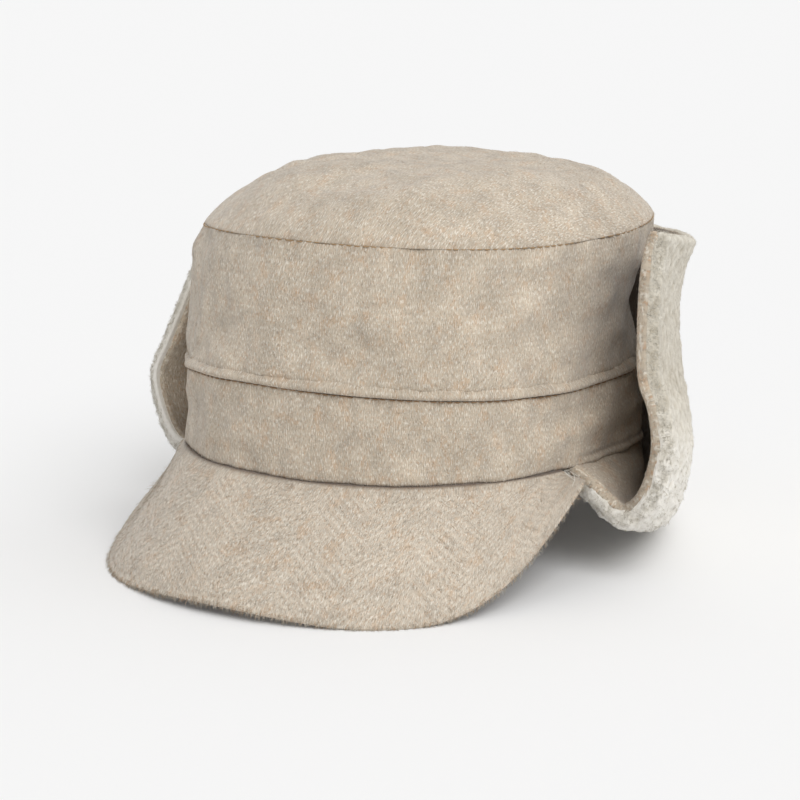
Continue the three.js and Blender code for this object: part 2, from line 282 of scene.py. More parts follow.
# The faces of a grid of points, closed on itself along rows or columns where asked
def gridFaces(rows, columns, closeRows=False, closeColumns=False):
    i, j = np.meshgrid(np.arange(rows if closeRows else rows - 1),
                       np.arange(columns if closeColumns else columns - 1), indexing="ij")
    nextI, nextJ = (i + 1) % rows, (j + 1) % columns
    corners = [i * columns + j, nextI * columns + j, nextI * columns + nextJ, i * columns + nextJ]
    return np.stack([c.ravel() for c in corners], 1)


def faceNormals(points, faces):
    a, b, c, d = (points[faces[:, k]] for k in range(4))
    return np.cross(c - a, d - b) / 2


def pointNormals(points, faces):
    spread = faceNormals(points, faces)
    normals = np.zeros_like(points)
    for k in range(4):
        np.add.at(normals, faces[:, k], spread)
    return unit(normals)


def outward(points, faces):
    middle = points[faces].mean(1)
    volume = (middle * faceNormals(points, faces)).sum()
    return faces[:, [1, 0, 3, 2]] if volume < 0 else faces


# A grid with both ends closed, each by a strip of faces between its columns front and back
def closeEnds(points, grid, steps, rows, front, back):
    faces = [grid]
    for step in (0, steps - 1):
        a, b = step * rows + front, step * rows + back
        ends = np.stack([a[:-1], a[1:], b[1:], b[:-1]], 1)
        faces.append(ends[:, [1, 0, 3, 2]] if step else ends)
    return outward(points, np.concatenate(faces))


# A mesh object from points in millimetres and four-cornered faces, where a triangle repeats its last corner
def makePiece(name, points, faces, material, marks):
    mesh = bpy.data.meshes.new(name)
    triangles = faces[:, 2] == faces[:, 3]
    sizes = np.where(triangles, 3, 4)
    corners = faces[~(np.stack([np.zeros(len(faces), bool)] * 3 + [triangles], 1))]
    mesh.vertices.add(len(points))
    mesh.vertices.foreach_set("co", (points * millimetre).astype(np.float32).ravel())
    mesh.loops.add(len(corners))
    mesh.loops.foreach_set("vertex_index", corners.astype(np.int32))
    mesh.polygons.add(len(faces))
    mesh.polygons.foreach_set("loop_start", (np.cumsum(sizes) - sizes).astype(np.int32))
    mesh.polygons.foreach_set("use_smooth", np.ones(len(faces), bool))
    mesh.update(calc_edges=True)
    mesh.validate()
    for markName, values in marks.items():
        kind = "FLOAT_VECTOR" if values.ndim == 2 else "FLOAT"
        mark = mesh.attributes.new(markName, kind, "POINT")
        mark.data.foreach_set("vector" if values.ndim == 2 else "value", values.astype(np.float32).ravel())
    piece = bpy.data.objects.new(name, mesh)
    piece.data.materials.append(material)
    bpy.context.scene.collection.objects.link(piece)
    return piece


def dress(piece, slot, *nodes):
    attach(piece, "root")
    if nodes:
        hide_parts(*nodes)
    print("made", piece.name, "faces", len(piece.data.polygons))


# Brushed melton wool, matt: short nap fibres of several shades lie along the cloth in streaks, with soft
# clouds where the nap turns. A herringbone shows faintly through the nap. Painted shade darkens the colour
# toward dark brown in seams, creases and hollows, in the flap's fold and under the peak.
def brushedMelton(name, look):
    material, tree, shader = newMaterial(name, 0.92, 0.15)
    place = addNode(tree, "Attribute", {"attribute_name": "clothPlace"})
    # the painted shade mark, from 0 to 1, laid on each piece where shade falls
    shadeMark = addNode(tree, "Attribute", {"attribute_name": "paintedShade"})

    def patches(width, length, detail, shift):
        scaled = addNode(tree, "VectorMath", {"operation": "MULTIPLY_ADD"},
                         {1: (1 / width, 1 / length, 1), 2: (shift, shift * 0.7, 0)},
                         {0: place.outputs["Vector"]})
        return addNode(tree, "TexNoise", {"noise_dimensions": "2D"},
                       {"Scale": 1.0, "Detail": detail, "Roughness": 0.6}, {"Vector": scaled})

    color = None
    heights = []
    for shade in look["shades"]:
        noise = patches(*shade["size"], 2.0, shade["shift"])
        share = addNode(tree, "MapRange", {"interpolation_type": "SMOOTHSTEP"},
                        {1: shade["from"], 2: shade["to"], 3: 0.0, 4: shade["strength"]},
                        {0: noise})
        mix = addNode(tree, "Mix", {"data_type": "RGBA"},
                      {6: linearColor(look["base"]), 7: linearColor(shade["color"])},
                      {0: share, **({6: color} if color else {})})
        color = mix.outputs[2]
        heights.append(noise)

    def shaded(value, low, high, least, most, start):
        spread = addNode(tree, "MapRange", None, {1: low, 2: high, 3: least, 4: most}, {0: value})
        return addNode(tree, "VectorMath", {"operation": "SCALE"}, None,
                       {0: start, "Scale": spread})

    for cloud in look["clouds"]:
        noise = patches(*cloud["size"], 3.0, cloud["shift"])
        color = shaded(noise, 0.3, 0.7, 1 - cloud["depth"], 1 + cloud["depth"], color)
    relief = addNode(tree, "Math", {"operation": "ADD"}, None, {0: heights[-2], 1: heights[-1]})
    if look["twillDepth"]:
        axes = addNode(tree, "SeparateXYZ", None, None, {0: place.outputs["Vector"]})
        column = addNode(tree, "Math", {"operation": "PINGPONG"}, {1: look["twillColumn"]},
                         {0: axes})
        slant = addNode(tree, "Math", {"operation": "ADD"}, None,
                        {0: column, 1: axes.outputs[1]})
        turns = addNode(tree, "Math", {"operation": "MULTIPLY"},
                        {1: 2 * math.pi / look["twillPitch"]}, {0: slant})
        lines = addNode(tree, "Math", {"operation": "SINE"}, None, {0: turns})
        color = shaded(lines, -1, 1, 1 - look["twillDepth"], 1 + look["twillDepth"], color)
        relief = addNode(tree, "Math", {"operation": "MULTIPLY_ADD"}, {1: look["twillRelief"]},
                         {0: lines, 2: relief})
    # Painted shade: the colour is mixed toward the dark brown as far as the shade mark asks
    share = addNode(tree, "MapRange", None, {1: 0.0, 2: 1.0, 3: 0.0, 4: look["paintedShadeDepth"]},
                    {0: shadeMark.outputs["Fac"]})
    paintedShadeMix = addNode(tree, "Mix", {"data_type": "RGBA"}, {7: linearColor(look["paintedShadeColor"])},
                      {0: share, 6: color})
    tree.links.new(paintedShadeMix.outputs[2], shader.inputs["Base Color"])
    bump = addNode(tree, "Bump", None,
                   {"Strength": look["bump"], "Distance": look["napDepth"] * millimetre}, {"Height": relief})
    tree.links.new(bump.outputs[0], shader.inputs["Normal"])
    shader.inputs["Sheen Weight"].default_value = look["sheen"]
    shader.inputs["Sheen Roughness"].default_value = 0.5
    return material


# Single wool hairs, dull: each has one of the fleece's natural shades
def woolHair(name, tones):
    material, tree, shader = newMaterial(name, 0.9, 0.15)
    tone = addNode(tree, "Attribute", {"attribute_name": "hairTone"})
    ramp = addNode(tree, "ValToRGB", None, None, {0: tone.outputs["Fac"]})
    ramp.color_ramp.interpolation = "CONSTANT"
    while len(ramp.color_ramp.elements) < len(tones):
        ramp.color_ramp.elements.new(1.0)
    for element, (start, hexColor) in zip(ramp.color_ramp.elements, tones):
        element.position = start
        element.color = linearColor(hexColor)
    tree.links.new(ramp.outputs[0], shader.inputs["Base Color"])
    return material


# Sherpa pile, matt: off-white curls, with painted shade, darker and yellower, down between them, and a
# painted highlight, whiter, round the fold and along the -X front edge
def sherpaPile(name, look):
    material, tree, shader = newMaterial(name, 0.95, 0.1)
    depth = addNode(tree, "Attribute", {"attribute_name": "pileLightAndShade"})
    texture = addNode(tree, "TexCoord")
    noise = addNode(tree, "TexNoise", None,
                    {"Scale": 1 / (look["grain"] * millimetre), "Detail": 3.0, "Roughness": 0.6},
                    {"Vector": texture.outputs["Object"]})
    # Painted shade: low values of the mark mix in the darker, yellower colour
    share = addNode(tree, "MapRange", None, {1: 0.0, 2: 0.7, 3: 1.0, 4: 0.0},
                    {0: depth.outputs["Fac"]})
    mottle = addNode(tree, "TexNoise", None,
                     {"Scale": 1 / (look["mottle"] * millimetre), "Detail": 2.0},
                     {"Vector": texture.outputs["Object"]})
    spread = addNode(tree, "MapRange", None,
                     {1: 0.3, 2: 0.7, 3: -look["mottleDepth"], 4: look["mottleDepth"]},
                     {0: mottle})
    total = addNode(tree, "Math", {"operation": "ADD", "use_clamp": True}, None,
                    {0: share, 1: spread})
    # Painted highlight: high values of the mark mix in the whiter colour
    foldLightShare = addNode(tree, "MapRange", None, {1: 0.7, 2: 1.2, 3: 0.0, 4: 1.0},
                       {0: depth.outputs["Fac"]})
    crest = addNode(tree, "Mix", {"data_type": "RGBA"},
                    {6: linearColor(look["curl"]), 7: linearColor(look["full"])}, {0: foldLightShare})
    mix = addNode(tree, "Mix", {"data_type": "RGBA"},
                  {7: linearColor(look["root"])}, {0: total, 6: crest.outputs[2]})
    tree.links.new(mix.outputs[2], shader.inputs["Base Color"])
    bump = addNode(tree, "Bump", None,
                   {"Strength": look["bump"], "Distance": look["grainDepth"] * millimetre},
                   {"Height": noise})
    tree.links.new(bump.outputs[0], shader.inputs["Normal"])
    shader.inputs["Sheen Weight"].default_value = look["sheen"]
    return material


# Cotton thread, dull
def cottonThread(name, hexColor):
    material, tree, shader = newMaterial(name, 0.8)
    shader.inputs["Base Color"].default_value = linearColor(hexColor)
    return material


woolLook = {
    "base": "#c4b7a4",
    "shades": [
        {"color": "#a1988c", "size": (8.0, 11.0), "from": 0.50, "to": 0.72, "strength": 0.32, "shift": 140.0},
        {"color": "#c4a483", "size": (5.5, 8.0), "from": 0.52, "to": 0.72, "strength": 0.40, "shift": 12.0},
        {"color": "#8f8375", "size": (0.45, 1.7), "from": 0.54, "to": 0.70, "strength": 0.60, "shift": 0.0},
        {"color": "#b98f6c", "size": (0.42, 1.5), "from": 0.56, "to": 0.70, "strength": 0.50, "shift": 33.0},
        {"color": "#eae4d8", "size": (0.48, 1.9), "from": 0.52, "to": 0.68, "strength": 0.65, "shift": 57.0},
    ],
    "clouds": [
        {"size": (24.0, 24.0), "depth": 0.09, "shift": 91.0},
        {"size": (8.0, 12.0), "depth": 0.07, "shift": 47.0},
    ],
    "twillDepth": 0.0,
    # The painted shade's dark brown, and how far it can darken the cloth
    "paintedShadeColor": "#4f3722",
    "paintedShadeDepth": 0.85,
    "bump": 0.7,
    "napDepth": 0.35,
    "sheen": 0.35,
}
# The weave of the peak: its columns and its slanting lines, in millimetres
peakLook = {
    **woolLook,
    "base": "#cdc1b0",
    "twillDepth": 0.05,
    "twillColumn": 19.0,
    "twillPitch": 3.8,
    "twillRelief": 0.12,
    "clouds": [{"size": (18.0, 18.0), "depth": 0.05, "shift": 71.0}],
}
crownWool = brushedMelton("brushed melton wool", woolLook)
peakWool = brushedMelton("brushed herringbone wool", peakLook)
# curl is the pile's own off-white; root is its painted shade between the curls, full its painted highlight
# round the fold
fleecePile = sherpaPile("sherpa pile", {
    "curl": "#e3ddd0", "root": "#a79b85", "full": "#f6f2ea", "grain": 0.55, "grainDepth": 0.5,
    "bump": 0.8, "sheen": 0.2, "mottle": 1.7, "mottleDepth": 0.14})
# Each shade of hair, with the share of the hairs that comes before it
napTones = [(0.0, "#cfc4b3"), (0.34, "#e4ddd0"), (0.60, "#aa9c88"), (0.82, "#bd9b79")]
pileTones = [(0.0, "#d5d0c4"), (0.5, "#e2ded3"), (0.85, "#b9b09d")]
napHair = woolHair("wool nap hairs", napTones)
pileHair = woolHair("sherpa pile hairs", pileTones)
seamThread = cottonThread("tan cotton thread", "#a58763")
ditchThread = cottonThread("brown cotton thread", "#927455")
looseThread = cottonThread("white cotton thread", "#efece4")

hairRoot = 0.12                         # how deep a hair starts in the cloth


# Fine hairs scattered over part of a mesh. Each is a slim three-sided spike that lies along the cloth and
# lifts at its tip. Each ground has points, faces, the nap's direction at each face, and its share of hair.
def scatterHairs(name, grounds, hair, material, slot):
    draw = randomDraw(hair["seed"])
    count = hair["count"]
    corners = np.concatenate([ground[0][ground[1]] for ground in grounds])
    lay = np.concatenate([ground[2] for ground in grounds])
    share = np.concatenate([ground[3] for ground in grounds])
    spread = np.cross(corners[:, 2] - corners[:, 0], corners[:, 3] - corners[:, 1]) / 2
    area = np.linalg.norm(spread, axis=1)
    chance = area * share
    pick = draw.choice(len(corners), count, p=chance / chance.sum())
    u, v = draw.random((2, count, 1))
    a, b, c, d = (corners[pick, k] for k in range(4))
    foot = a * (1 - u) * (1 - v) + b * u * (1 - v) + c * u * v + d * (1 - u) * v
    up = spread[pick] / np.maximum(area[pick, None], 1e-9)
    stray = draw.normal(0, hair["scatter"], (count, 3))
    along = lay[pick] + np.linalg.norm(lay[pick], axis=1, keepdims=True) * stray
    along = unit(along - up * (along * up).sum(1, keepdims=True))
    side = np.cross(up, along)
    long = hair["length"] * draw.uniform(0.5, 1.4, (count, 1))
    lift = hair["lift"] * draw.uniform(0.2, 1.6, (count, 1))
    curl = hair["curl"] * draw.normal(0, 1, (count, 1))
    thick = hair["radius"] * draw.uniform(0.7, 1.2, (count, 1))
    low = foot - up * hairRoot
    middle = foot + along * long * 0.5 + up * lift * 0.8 + side * curl * 0.5
    tip = foot + along * long + up * lift * 1.1 - side * curl * 0.4
    bends = ((low, 1.0), (middle, 0.85)) if hair["curl"] else ((low, 1.0),)
    rings = []
    for center, size in bends:
        for turn in (0, 1, 2):
            angle = turn * 2 * math.pi / 3 + 0.5
            rings.append(center + (side * math.cos(angle) + up * math.sin(angle)) * thick * size)
    points = np.stack(rings + [tip], 1)
    last = points.shape[1] - 1
    points = points.reshape(-1, 3)
    points[:, 2] = np.maximum(points[:, 2], offFloor)
    spike = [(0, 2, 1, 1), (last - 3, last - 2, last, last), (last - 2, last - 1, last, last),
             (last - 1, last - 3, last, last)]
    if hair["curl"]:
        spike += [(0, 1, 4, 3), (1, 2, 5, 4), (2, 0, 3, 5)]
    faces = (np.arange(count)[:, None, None] * (last + 1) + np.array(spike)[None]).reshape(-1, 4)
    tone = np.repeat(draw.random(count), last + 1)
    piece = makePiece(name, points, faces, material, {"hairTone": tone})
    dress(piece, slot)
    return piece


# Thread along paths of points: a round tube for each path, drawn to a point at both ends
def makeThreads(name, paths, radius, material, slot, sides=5):
    count, rings = paths.shape[:2]
    along = unit(np.gradient(paths, axis=1))
    guide = np.where(np.abs(along[..., 2:]) > 0.9, np.array([1.0, 0, 0]), np.array([0, 0, 1.0]))
    one = unit(np.cross(along, guide))
    two = np.cross(along, one)
    size = np.full(rings, radius)
    size[[0, -1]] = radius * 0.35
    points = []
    for turn in range(sides):
        angle = 2 * math.pi * turn / sides
        points.append(paths + (one * math.cos(angle) + two * math.sin(angle)) * size[None, :, None])
    points = np.stack(points, 2).reshape(-1, 3)
    tube = gridFaces(rings, sides, False, True)
    caps = [(0, k, k + 1, k + 1) for k in range(1, sides - 1)]
    last = (rings - 1) * sides
    caps += [(last, last + k + 1, last + k, last + k) for k in range(1, sides - 1)]
    tube = np.concatenate([tube[:, ::-1], np.array(caps)])
    faces = (np.arange(count)[:, None, None] * rings * sides + tube[None]).reshape(-1, 4)
    points[:, 2] = np.maximum(points[:, 2], offFloor)
    piece = makePiece(name, points, faces, material, {})
    dress(piece, slot)


napGround = []
# The crown's wall: fineness of its mesh and the sewn relief along its seams
wall = {
    "steps": 560,
    "rowStep": 0.9,
    "insideRows": 8,
    "seamDepth": 0.45,
    "seamWidth": 0.8,
    "puckerDepth": 0.22,
    "puckerPitch": 7.5,
    "puckerReach": 5.0,
    "softDepth": 0.45,
    "softSize": 34.0,
    "fineDepth": 0.28,
    "fineSize": 17.0,
    "fuzzRows": 3,
}
arcScale = math.radians(1) * 96        # millimetres of wall for each degree
softWall = softField(1, wall["softSize"])
softWallFine = softField(2, wall["fineSize"])


# The angles of equal steps round the head, as a column
def roundHead(steps):
    return (np.arange(steps) * 360 / steps - 180)[:, None]


# Rows from low to high that are closer together at both ends
def rowsBetween(low, high, step):
    part = np.linspace(0, 1, max(int((high - low) / step), 4) + 1)
    return low + (high - low) * (0.55 * part + 0.225 * (1 - np.cos(math.pi * part)))


# The small puckers that the seams' thread pulls into the cloth
def pucker(arc):
    return wall["puckerDepth"] * np.sin(2 * math.pi * arc / wall["puckerPitch"] + softWall(arc, 0) * 3)


# Where the material's streaks lie on the cloth: across and along, in millimetres
def clothPlace(across, along):
    return np.stack(np.broadcast_arrays(across, along, 0.0), -1).reshape(-1, 3)


# The ground for hairs on the shown faces of a grid, with the nap brushed down its columns
def brushed(points, grid, faces, shown, share):
    return points, faces[shown], points[grid[shown, 0]] - points[grid[shown, 3]], share


# How far the cloth lies from the plain wall: dents, soft waves, and the roll of both edges into their seams
def wallRelief(angle, height, low, high, rollLow, rollHigh):
    arc = angle * arcScale
    out = -dentAt(angle, height)
    out = out + wall["softDepth"] * softWall(arc, height * 1.4)
    out = out + wall["fineDepth"] * softWallFine(arc, height)
    for edge, roll in ((low, rollLow), (high, rollHigh)):
        away = np.abs(height - edge)
        out = out - roll * np.exp(-away / wall["seamWidth"])
        out = out + pucker(arc) * np.exp(-away / wall["puckerReach"])
    return out


# The flap's seam allowance shows as a low roll along the band's lower edge, from one peak end round the back,
# with painted shade in the ditch above it
allowance = {"startAngle": 82.0, "over": 6.0, "roll": 0.8, "rollHeight": 1.9, "rollWidth": 1.2,
             "ditch": 0.5, "ditchHeight": 4.3, "ditchWidth": 0.6, "shade": 0.6, "shadeWidth": 0.7}


def allowanceRoll(angle, height):
    behind = np.clip((np.abs(angle) - allowance["startAngle"]) / allowance["over"], 0, 1)
    roll = allowance["roll"] * bell(height - allowance["rollHeight"], allowance["rollWidth"])
    fromDitch = height - allowance["ditchHeight"]
    ditch = allowance["ditch"] * bell(fromDitch, allowance["ditchWidth"])
    # painted shade in the ditch
    shade = allowance["shade"] * bell(fromDitch, allowance["shadeWidth"])
    return (roll - ditch) * behind, shade * behind


# A closed ring of cloth round the head, with hairs on its rows from first to last
def clothRing(name, node, own, arc, along, shade, first, last, fuzz=0.0):
    steps, rows = own.shape[:2]
    points = placed(own).reshape(-1, 3)
    grid = gridFaces(steps, rows, True, True)
    faces = outward(points, grid)
    marks = {"clothPlace": clothPlace(arc, along), "paintedShade": shade.ravel()}
    dress(makePiece(name, points, faces, crownWool, marks), "crown_wool", node)
    row = np.arange(len(faces)) % rows
    shown = (row >= first) & (row <= last)
    share = 1 + fuzz * (row < wall["fuzzRows"])
    napGround.append(brushed(points, grid, faces, shown, share[shown]))


def wallRing(name, node, low, high, seams):
    outside = rowsBetween(low, high, wall["rowStep"])
    inside = np.linspace(high, low, wall["insideRows"])
    angle = roundHead(wall["steps"])
    relief = wallRelief(angle, outside[None], low, high, seams["rollLow"], seams["rollHigh"])
    # Painted shade along the low and the high seam, darkest at the seam line
    shade = (seams["shadeLow"] * np.exp(-(outside - low) / seams["shadeWidth"])
             + seams["shadeHigh"] * np.exp(-(high - outside) / seams["shadeWidth"]))[None] + 0 * angle
    # On the band the allowance adds its roll, and the painted shade in its ditch
    if seams["allowance"]:
        roll, ditch = allowanceRoll(angle, outside[None])
        relief = relief + roll
        shade = shade + ditch
    outer = ovalPoint(angle, outside[None], relief)
    deep = -dentAt(angle, inside[None]) - cap["clothWall"]
    inner = ovalPoint(angle, inside[None], deep)
    shade = np.concatenate([np.clip(shade, 0, 1), np.zeros(inner.shape[:2])], 1)
    heights = np.concatenate([outside, inside])[None]
    clothRing(name, node, np.concatenate([outer, inner], 1), angle * arcScale, heights, shade,
              0, len(outside) - 2, seams["fuzzLow"])


# rollLow and rollHigh sink the cloth into its seams; shadeLow, shadeHigh and shadeWidth give the painted
# shade along them
sideSeams = {"rollLow": 0.5, "rollHigh": wall["seamDepth"], "shadeLow": 0.0, "shadeHigh": 0.2,
             "shadeWidth": 0.5, "allowance": False, "fuzzLow": 0.0}
bandSeams = {"rollLow": 0.6, "rollHigh": 0.45, "shadeLow": 0.9, "shadeHigh": 0.5, "shadeWidth": 0.5,
             "allowance": True, "fuzzLow": 6.0}
sideLow = bandTop + cap["weltHeight"] - 0.2
wallRing("crownWall", "side_panel", sideLow, seamHeight, sideSeams)
wallRing("browBand", "band", 0.0, bandTop, bandSeams)

# The folded ridge between the two walls. Its profile has the rise up the ridge and how far it stands off
# there: a tight roll below that runs out softly into the wall above.
welt = {
    "steps": 640,
    "stitchPitch": 3.6,
    "stitchPull": 0.16,
    "wobble": 0.18,
    "wobbleSize": 22.0,
    "profile": [(-0.06, -0.2), (-0.02, 0.5), (0.05, 1.0), (0.15, 1.4), (0.29, 1.62), (0.43, 1.6),
                (0.57, 1.38), (0.69, 1.04), (0.79, 0.66), (0.88, 0.28), (0.96, -0.06), (1.03, -0.3),
                (1.1, -0.6)],
}


def makeWelt():
    angle = roundHead(welt["steps"])
    profile = np.array(welt["profile"])
    out = np.concatenate([[-cap["clothWall"]], profile[:, 1], [-cap["clothWall"]]])
    rise = np.concatenate([[0], profile[:, 0], [1]])
    arc = angle * arcScale
    pull = welt["stitchPull"] * np.cos(2 * math.pi * arc / welt["stitchPitch"]) * bell(rise - 0.05, 0.25)
    height = bandTop + cap["seamGap"] + rise[None] * cap["weltHeight"]
    wobble = welt["wobble"] * softField(3, welt["wobbleSize"])(arc, rise[None] * 3)
    relief = out - dentAt(angle, height) + pull + wall["softDepth"] * softWall(arc, height * 1.4) + wobble
    own = ovalPoint(angle, height + wobble * 0.5, relief)
    # Painted shade along the welt's lower edge, down in the ditch where the stitches pull
    shade = np.tile(0.6 * np.exp(-np.maximum(rise + 0.06, 0) / 0.05), welt["steps"])
    clothRing("weltRidge", "welt", own, arc, height, shade, 3, len(out) - 3)


makeWelt()

# The domed top
dome = {"steps": 480, "rings": 64, "insideRings": 12, "crowding": 1.35, "reach": 90.0, "softDepth": 0.8,
        "softSize": 60.0, "fineDepth": 0.3, "fineSize": 16.0, "fadeOver": 16.0, "seamDepth": 0.45,
        "seamWidth": 0.8}
domeSoft = softField(4, dome["softSize"])
domeFine = softField(5, dome["fineSize"])


def domePoint(angle, ring, inset, rise):
    seam = ovalPoint(angle, seamHeight, -inset)
    back = crownAt("setBack", seamHeight)
    waved = (seam[..., 2] - seamHeight) * ring * ring
    return np.stack([seam[..., 0] * ring, back + (seam[..., 1] - back) * ring,
                     seamHeight + waved + rise * (1 - ring ** cap["domePower"])], -1)


def makeDome():
    angle = roundHead(dome["steps"])
    # The rings crowd together toward the seam
    outerRing = (1 - np.linspace(0, 1, dome["rings"]) ** dome["crowding"] * 0.995)[None]
    innerRing = np.linspace(0.01, 1, dome["insideRings"])[None]
    outer = domePoint(angle, outerRing, 0, cap["domeRise"])
    away = (1 - outerRing) * dome["reach"]
    outer[..., 2] += (dome["softDepth"] * domeSoft(outer[..., 0], outer[..., 1])
                      + dome["fineDepth"] * domeFine(outer[..., 0], outer[..., 1])
                      ) * np.minimum(1, away / dome["fadeOver"])
    sink = (dome["seamDepth"] * np.exp(-away / dome["seamWidth"])
            - 0.6 * pucker(angle * arcScale) * np.exp(-away / wall["puckerReach"]))
    across = outer[..., :2] - np.array([0, crownAt("setBack", seamHeight)])
    outer[..., :2] -= unit(across) * sink[..., None]
    inner = domePoint(angle, innerRing, cap["clothWall"], cap["domeRise"] - cap["clothWall"])
    own = np.concatenate([outer, inner], 1)
    rows = own.shape[1]
    points = placed(own).reshape(-1, 3)
    marks = own.reshape(-1, 3) * np.array([1, 1, 0])
    # Painted shade along the top seam
    shade = np.concatenate([0.2 * np.exp(-away / 0.5) + 0 * angle, np.zeros(inner.shape[:2])], 1).ravel()
    outerCount = outer.shape[1]
    faces = gridFaces(dome["steps"], rows, True, True)
    # The two middles are closed each by a fan, not joined to each other
    column = faces[:, 0] % rows
    faces = faces[column != outerCount - 1]
    crest = len(points)
    middles = points.reshape(dome["steps"], rows, 3)[:, [outerCount - 1, outerCount]].mean(0)
    points = np.concatenate([points, middles])
    marks = np.concatenate([marks, np.zeros((2, 3))])
    shade = np.concatenate([shade, np.zeros(2)])
    here = np.arange(dome["steps"])
    after = (here + 1) % dome["steps"]
    fans = []
    for middle, ringColumn, flip in ((crest, outerCount - 1, False), (crest + 1, outerCount, True)):
        a, b = here * rows + ringColumn, after * rows + ringColumn
        a, b = (b, a) if flip else (a, b)
        tip = np.full_like(a, middle)
        fans.append(np.stack([a, b, tip, tip], 1))
    faces = outward(points, np.concatenate([faces] + fans))
    piece = makePiece("crownTop", points, faces, crownWool, {"clothPlace": marks, "paintedShade": shade})
    dress(piece, "crown_wool", "top_panel")
    shown = np.concatenate([column[column != outerCount - 1] < outerCount - 1, np.zeros(2 * len(here), bool)])
    lay = np.broadcast_to(np.array([0.35, -1.0, 0.0]), (shown.sum(), 3))
    napGround.append((points, faces[shown], lay, np.ones(shown.sum())))


makeDome()

# The peak: first the same driving dimensions as its solid, then its mesh and its finer relief
peak = {
    "thickness": 4.0, "endAngle": 79.6, "reach": 37.9, "drop": 52.8, "endDrop": 2.7, "endWidth": 8.4,
    "cornerFill": 8.0, "cornerRound": 0.9, "sideDrop": 8.8, "middleLift": 0.8, "frontRound": 0.9,
    "arch": 2.4, "leftHollow": 7.0, "rootPart": 0.06,
    "steps": 360, "rows": 60, "rimSteps": 8, "span": 62.0, "rootSpan": 105.0, "spread": 0.62,
    "edgeHalf": 1.0, "edgeFrom": 0.86, "softDepth": 0.12, "softSize": 30.0, "edgeDip": 0.22,
    # seamShade and underShade are painted shade: how soon it fades past the seam at the band, and how dark
    # the underside is
    "dipPlace": 2.2, "dipWidth": 0.7, "seamLift": 0.35, "seamOut": 0.4, "seamShade": 0.8, "underShade": 0.9,
}
peakNap = {"count": 16000, "length": 2.2, "lift": 0.2, "curl": 0.0, "radius": 0.075,
           "scatter": 0.35, "seed": 21}
peakFringe = {"count": 2600, "length": 2.6, "lift": 0.7, "curl": 0.4, "radius": 0.07,
              "scatter": 0.45, "seed": 25}


def peakEdge(turn):
    end = ovalPoint(peak["endAngle"], 0, 0)
    depth = peak["reach"] + cap["halfWidth"] * cap["lengthRatio"] + end[1]
    sine, cosine = np.sin(turn), np.cos(turn)
    across = (end[0] + peak["endWidth"]) * sine + peak["cornerFill"] * (np.sin(3 * turn) + sine)
    up = peak["sideDrop"] * np.cos(3 * turn) + peak["middleLift"] * np.cos(5 * turn)
    return np.stack([
        across - peak["cornerRound"] * (np.sin(5 * turn) - sine),
        end[1] - depth * cosine - peak["frontRound"] * (np.cos(3 * turn) - cosine),
        up - peak["drop"] * cosine - peak["endDrop"] * sine ** 4,
    ], -1)


def peakSurface(across, reach):
    across, reach = np.broadcast_arrays(np.asarray(across, float), np.asarray(reach, float))
    turn = across * math.pi / 2
    half = peak["thickness"] / 2
    root = ovalPoint(across * peak["endAngle"], 0, -cap["clothWall"])
    seam = ovalPoint(across * peak["endAngle"], 0, peak["seamOut"])
    root[..., 2] -= half + cap["seamGap"]
    seam[..., 2] -= half + cap["seamGap"] * 1.5
    toSeam = np.clip(reach / peak["rootPart"], 0, 1)[..., None]
    run = np.clip((reach - peak["rootPart"]) / (1 - peak["rootPart"]), 0, 1)
    cosine = np.cos(turn)
    hollow = peak["leftHollow"] * np.maximum(0, -np.sin(turn)) ** 4
    arch = peak["arch"] * (1 - hollow) * np.sin(math.pi * run) * np.abs(cosine) ** 1.5
    toEdge = seam + (peakEdge(turn) - seam) * run[..., None]
    point = np.where(toSeam < 1, root + (seam - root) * toSeam, toEdge)
    bulge = np.stack([0.6 * np.sin(turn), -0.6 * cosine, np.full_like(turn, 0.8)], -1)
    return point + arch[..., None] * bulge


# A round rim past the last column of middle, from one face over to the other: toFace leads to the first face
# and out is how far the rim stands out
def roundRim(middle, toFace, out, steps, center=None):
    push = unit(middle[:, -1] - middle[:, -2])
    sweep = np.linspace(0, math.pi, steps + 2)[1:-1][None, :, None]
    start = middle[:, -1] if center is None else center
    return start[:, None] + toFace[:, None] * np.cos(sweep) + (push * out)[:, None] * np.sin(sweep)


def gridNormal(surface, a, b, stepA, stepB):
    alongA = surface(a + stepA, b) - surface(a - stepA, b)
    alongB = surface(a, b + stepB) - surface(a, b - stepB)
    return unit(np.cross(alongA, alongB))


